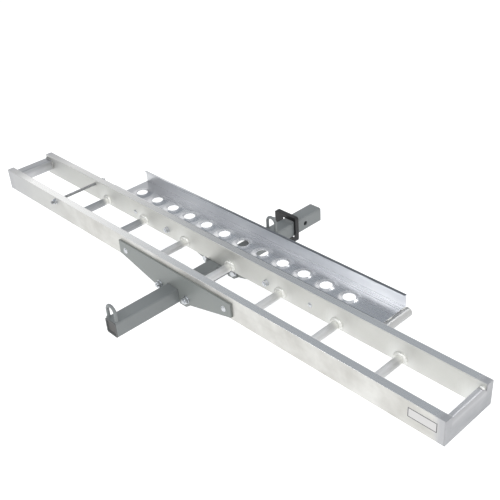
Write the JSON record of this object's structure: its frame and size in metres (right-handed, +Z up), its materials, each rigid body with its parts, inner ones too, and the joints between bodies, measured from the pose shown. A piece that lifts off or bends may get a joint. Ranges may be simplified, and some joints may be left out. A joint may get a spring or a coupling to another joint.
{
  "type": "hitch motorcycle carrier",
  "caption": "Ladder track on a receiver tube that carries a motorcycle behind a vehicle, with a stored loading ramp, tie-down loops and a clamp-on hitch stabiliser.",
  "frame": {"origin": "centre of the hitch pin hole, on the axis of the square hitch tube", "axes": "+X along the track, on the axis of the hitch pin; +Y towards the towing vehicle; +Z up"},
  "size_m": [1.93, 0.864, 0.1468],
  "materials": {
    "rail_aluminium": "mill finish, brushed along its length",
    "cross_member_aluminium": "mill finish",
    "ramp_aluminium": "mill finish, bright",
    "hook_tube_aluminium": "mill finish",
    "grey_painted_steel": "grey powder coat, satin",
    "black_painted_steel": "black powder coat, satin",
    "threaded_rod_steel": "plain threaded rod",
    "zinc_plated_steel": "zinc plate",
    "end_plug_plastic": "dull brown-grey plastic"
  },
  "bodies": {
    "carrier": {"rear_rail": "rail_aluminium", "front_rail": "rail_aluminium", "rail_end_caps": "rail_aluminium", "left_end_member": "cross_member_aluminium", "right_end_member": "cross_member_aluminium", "rung_1": "cross_member_aluminium", "rung_2": "cross_member_aluminium", "rung_3": "cross_member_aluminium", "rung_4": "cross_member_aluminium", "rung_5": "cross_member_aluminium", "rung_6": "cross_member_aluminium", "rung_7": "cross_member_aluminium", "stop_rod": "threaded_rod_steel", "stop_rod_nuts": "zinc_plated_steel", "stop_rod_washers": "zinc_plated_steel", "rear_bracket_plate": "grey_painted_steel", "front_bracket_plate": "grey_painted_steel", "bracket_rail_bolts": "zinc_plated_steel", "bracket_rail_washers": "zinc_plated_steel", "bracket_rail_nuts": "zinc_plated_steel", "rear_left_lug": "grey_painted_steel", "rear_right_lug": "grey_painted_steel", "front_left_lug": "grey_painted_steel", "front_right_lug": "grey_painted_steel", "lug_bolts": "zinc_plated_steel", "lug_washers": "zinc_plated_steel", "lug_nuts": "zinc_plated_steel", "hitch_tube": "grey_painted_steel", "tube_end_plug": "end_plug_plastic", "rear_tie_down_loop": "grey_painted_steel", "front_tie_down_loop": "grey_painted_steel", "ramp_bolts": "zinc_plated_steel", "ramp_spacers": "zinc_plated_steel"},
    "ramp": {"ramp_deck": "ramp_aluminium", "ramp_rear_side": "ramp_aluminium", "ramp_front_side": "ramp_aluminium", "ramp_hook_tube": "hook_tube_aluminium", "ramp_washers": "zinc_plated_steel"},
    "left_nut": {"left_wing_nut": "zinc_plated_steel"},
    "right_nut": {"right_wing_nut": "zinc_plated_steel"},
    "stabiliser": {"stabiliser_bracket": "black_painted_steel", "stabiliser_nut": "zinc_plated_steel"},
    "clamp_bolt": {"stabiliser_bolt": "zinc_plated_steel"}
  },
  "joints": [
    {"name": "ramp_lift_off", "type": "slide", "parent": "carrier", "child": "ramp", "axis": [0, 1, 0], "range_m": [0, 0.05]},
    {"name": "left_wing_nut_turn", "type": "hinge", "parent": "ramp", "child": "left_nut", "pos_m": [-0.404, -0.34, 0.0569], "axis": [0, 1, 0], "continuous": true},
    {"name": "right_wing_nut_turn", "type": "hinge", "parent": "ramp", "child": "right_nut", "pos_m": [0.404, -0.34, 0.0569], "axis": [0, 1, 0], "continuous": true},
    {"name": "stabiliser_slide", "type": "slide", "parent": "carrier", "child": "stabiliser", "axis": [0, 1, 0], "range_m": [-0.06, 0.03]},
    {"name": "clamp_bolt_turn", "type": "hinge", "parent": "stabiliser", "child": "clamp_bolt", "pos_m": [-0.065, -0.048, 0], "axis": [1, 0, 0], "continuous": true}
  ]
}
